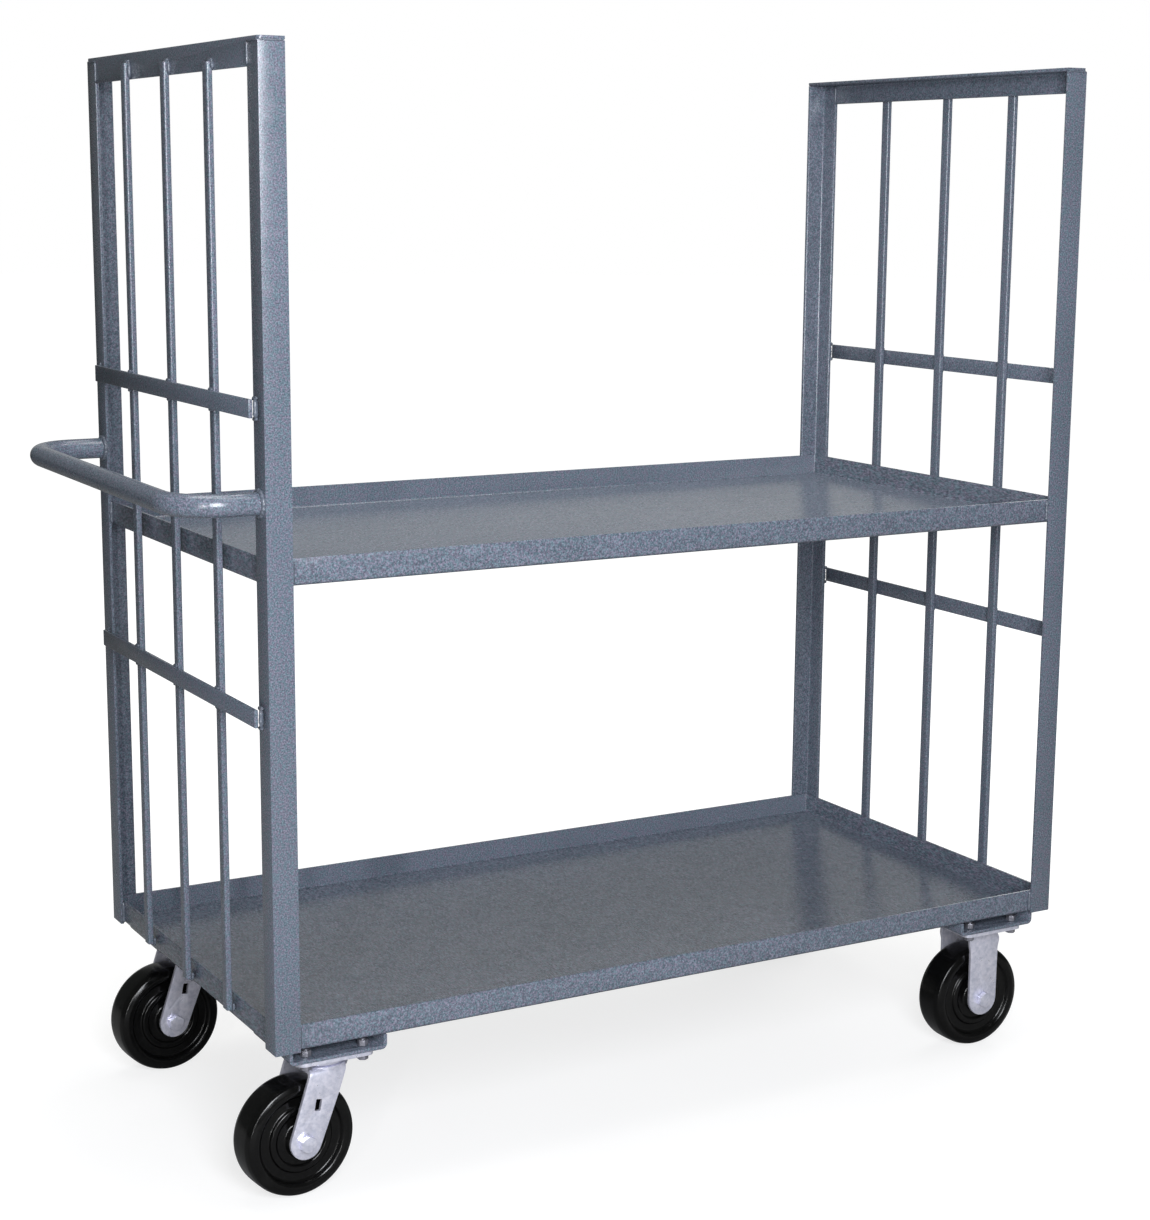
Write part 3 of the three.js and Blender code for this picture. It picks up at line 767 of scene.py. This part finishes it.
# ---- the mounting bolts on the inboard side of each caster ----
HEAD_HEIGHT = 0.0065
NUT_BELOW_TIP = (0.0095, 0.0015)  # the nut's two faces, down from the shank's tip
HEX_CHAMFER = 0.0014
HEX_FACE = 0.86  # the chamfered face's radius over the hexagon's
SHANK_RADIUS = 0.0047
SHANK_START = 0.006
BOLT_EDGE = 0.0004


def inboard_bolt(corner, side):
    """A copy of the outboard bolt's shape: chamfered hexagon head, shank and nut."""
    low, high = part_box(f"mounting_bolt_{corner}_{side}")
    pad_low, pad_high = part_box(f"caster_pad_{corner}")
    x = (low.x + high.x) / 2
    y = (pad_low.y + pad_high.y) - (low.y + high.y) / 2
    radius = (high.y - low.y) / 2
    made = bmesh.new()
    head = (low.z, low.z + HEAD_HEIGHT)
    nut = (high.z - NUT_BELOW_TIP[0], high.z - NUT_BELOW_TIP[1])
    for bottom, top in (head, nut):
        rings = [
            circle(radius * HEX_FACE, x, y, bottom, 6),
            circle(radius, x, y, bottom + HEX_CHAMFER, 6),
            circle(radius, x, y, top - HEX_CHAMFER, 6),
            circle(radius * HEX_FACE, x, y, top, 6),
        ]
        rings_to_mesh(made, rings)
    rings_to_mesh(made, [circle(SHANK_RADIUS, x, y, z, 24) for z in (low.z + SHANK_START, high.z)])
    piece = finish_piece(f"inboard_bolt_{corner}_{side}", made, "dull_zinc", "frame")
    crisp(piece, BOLT_EDGE)


for corner in CORNERS:
    for side in ("left", "right"):
        inboard_bolt(corner, side)

# ---- finish for the CAD nodes ----
OTHER_EDGE_WIDTH = 0.0006
SAME_POINT = 0.00002  # corners closer than this are one corner
EDGE_WIDTHS = (
    ("post_", 0.0016),
    ("top_angle_", 0.0014),
    ("cross_bar_", 0.0008),
    ("caster_pad_", 0.0010),
    ("fork_", 0.0009),
    ("caster_plate_", 0.0009),
    ("axle_", 0.0004),
    ("mounting_bolt_", 0.0006),
)
SPECIAL_LOOKS = (
    # the mounting bolts take the darker zinc, which is painted shade
    ("mounting_bolt_", "dull_zinc"),
    ("upper_shelf", "shelf_paint"),
    ("lower_shelf", "shelf_paint"),
)


def chosen(table, name, otherwise):
    """The value for the first entry whose text the name starts with."""
    return next((value for start, value in table if name.startswith(start)), otherwise)


slots = {part["node"]: part["material_slot"] for part in RECORD["subparts"]}
for name, node in NODES.items():
    node.data.materials.clear()
    node.data.materials.append(MATERIALS[chosen(SPECIAL_LOOKS, name, slots[name])])
    node.data.polygons.foreach_set("use_smooth", [True] * len(node.data.polygons))
    weld = node.modifiers.new("join", "WELD")
    weld.merge_threshold = SAME_POINT
    crisp(node, chosen(EDGE_WIDTHS, name, OTHER_EDGE_WIDTH), 3, 30)


# ---- floor, light and camera ----
FLOOR_RADII = (0.001, 1.0, 4.0, 9.0, 30.0)
FLOOR_SIDES = 72


def floor():
    """A wide round sheet of paper under the wheels."""
    made = bmesh.new()
    rings = [circle(radius, 0.0, 0.0, 0.0, FLOOR_SIDES) for radius in FLOOR_RADII]
    rings_to_mesh(made, rings, close_ends=False)
    mesh = bpy.data.meshes.new("floor")
    bmesh.ops.recalc_face_normals(made, faces=made.faces)
    made.to_mesh(mesh)
    made.free()
    mesh.materials.append(floor_paper())
    sheet = bpy.data.objects.new("floor", mesh)
    bpy.context.scene.collection.objects.link(sheet)


floor()


def softbox(name, place, target, size, power, colour=(1, 1, 1)):
    """A rectangular light of so many watts, turned towards its target."""
    light = bpy.data.lights.new(name, "AREA")
    light.shape = "RECTANGLE"
    light.size, light.size_y = size
    light.energy = power
    light.color = colour
    lamp = bpy.data.objects.new(name, light)
    lamp.location = place
    direction = Vector(target) - Vector(place)
    lamp.rotation_euler = direction.to_track_quat("-Z", "Y").to_euler()
    bpy.context.scene.collection.objects.link(lamp)


CENTRE = (0.0, 0.0, 0.7)
softbox("overhead", (0.1, 0.1, 3.4), (0.0, 0.0, 0.6), (2.4, 2.0), 72, (1.0, 0.99, 0.96))
softbox("front", (-1.0, -2.7, 1.6), (-0.3, 0.0, 0.7), (0.9, 1.4), 98, (0.93, 0.95, 1.0))
softbox("left_strip", (-3.0, -3.8, 1.2), CENTRE, (0.12, 2.8), 66)
softbox("right_rear", (3.6, 1.8, 2.4), CENTRE, (2.0, 2.4), 45)
softbox("back_panel", (1.9, 3.6, 1.2), CENTRE, (5.2, 2.2), 12)

ROOM_COLOUR = (0.95, 1.0, 0.98, 1.0)
ROOM_STRENGTH = 0.12
BACKDROP_COLOUR = (1.0, 1.0, 1.0, 1.0)
BACKDROP_STRENGTH = 1.0


def studio_world():
    """A dim even light from all round, while the camera itself sees plain white."""
    world = bpy.data.worlds.new("studio")
    bpy.context.scene.world = world
    world.use_nodes = True
    nodes, links = world.node_tree.nodes, world.node_tree.links
    background = nodes["Background"]
    backdrop = nodes.new("ShaderNodeBackground")
    chooser = nodes.new("ShaderNodeMixShader")
    paths = nodes.new("ShaderNodeLightPath")
    background.inputs["Color"].default_value = ROOM_COLOUR
    background.inputs["Strength"].default_value = ROOM_STRENGTH
    backdrop.inputs["Color"].default_value = BACKDROP_COLOUR
    backdrop.inputs["Strength"].default_value = BACKDROP_STRENGTH
    links.new(paths.outputs["Is Camera Ray"], chooser.inputs["Fac"])
    links.new(background.outputs["Background"], chooser.inputs[1])
    links.new(backdrop.outputs["Background"], chooser.inputs[2])
    links.new(chooser.outputs["Shader"], nodes["World Output"].inputs["Surface"])


studio_world()

CAMERA_FROM_FRAME = Vector((-1.6096, -2.7993, 1.2619))  # from the middle of the shelves, on the floor
CAMERA_YAW = 0.516
CAMERA_PITCH = 0.1832
CAMERA_ROLL = 0.0068
CAMERA_LENS = 71.67
CAMERA_SENSOR = 36.0
CAMERA_REACH = 100


def camera():
    """Looks down a little at the near long side, from beyond the handle end."""
    data = bpy.data.cameras.new("camera")
    data.sensor_width = CAMERA_SENSOR
    data.sensor_fit = "HORIZONTAL"
    data.lens = CAMERA_LENS
    data.clip_end = CAMERA_REACH
    holder = bpy.data.objects.new("camera", data)
    forward = Vector((
        math.sin(CAMERA_YAW) * math.cos(CAMERA_PITCH),
        math.cos(CAMERA_YAW) * math.cos(CAMERA_PITCH),
        -math.sin(CAMERA_PITCH),
    ))
    level = Vector((math.cos(CAMERA_YAW), -math.sin(CAMERA_YAW), 0))
    upright = level.cross(forward)
    right = math.cos(CAMERA_ROLL) * level + math.sin(CAMERA_ROLL) * upright
    up = -math.sin(CAMERA_ROLL) * level + math.cos(CAMERA_ROLL) * upright
    shelf_middle = Vector(((frame_x[0] + frame_x[1]) / 2, (frame_y[0] + frame_y[1]) / 2, 0))
    place = shelf_middle + CAMERA_FROM_FRAME
    holder.matrix_world = Matrix((
        (right.x, up.x, -forward.x, place.x),
        (right.y, up.y, -forward.y, place.y),
        (right.z, up.z, -forward.z, place.z),
        (0, 0, 0, 1),
    ))
    bpy.context.scene.collection.objects.link(holder)
    bpy.context.scene.camera = holder


camera()
bpy.context.scene.view_settings.view_transform = "Standard"
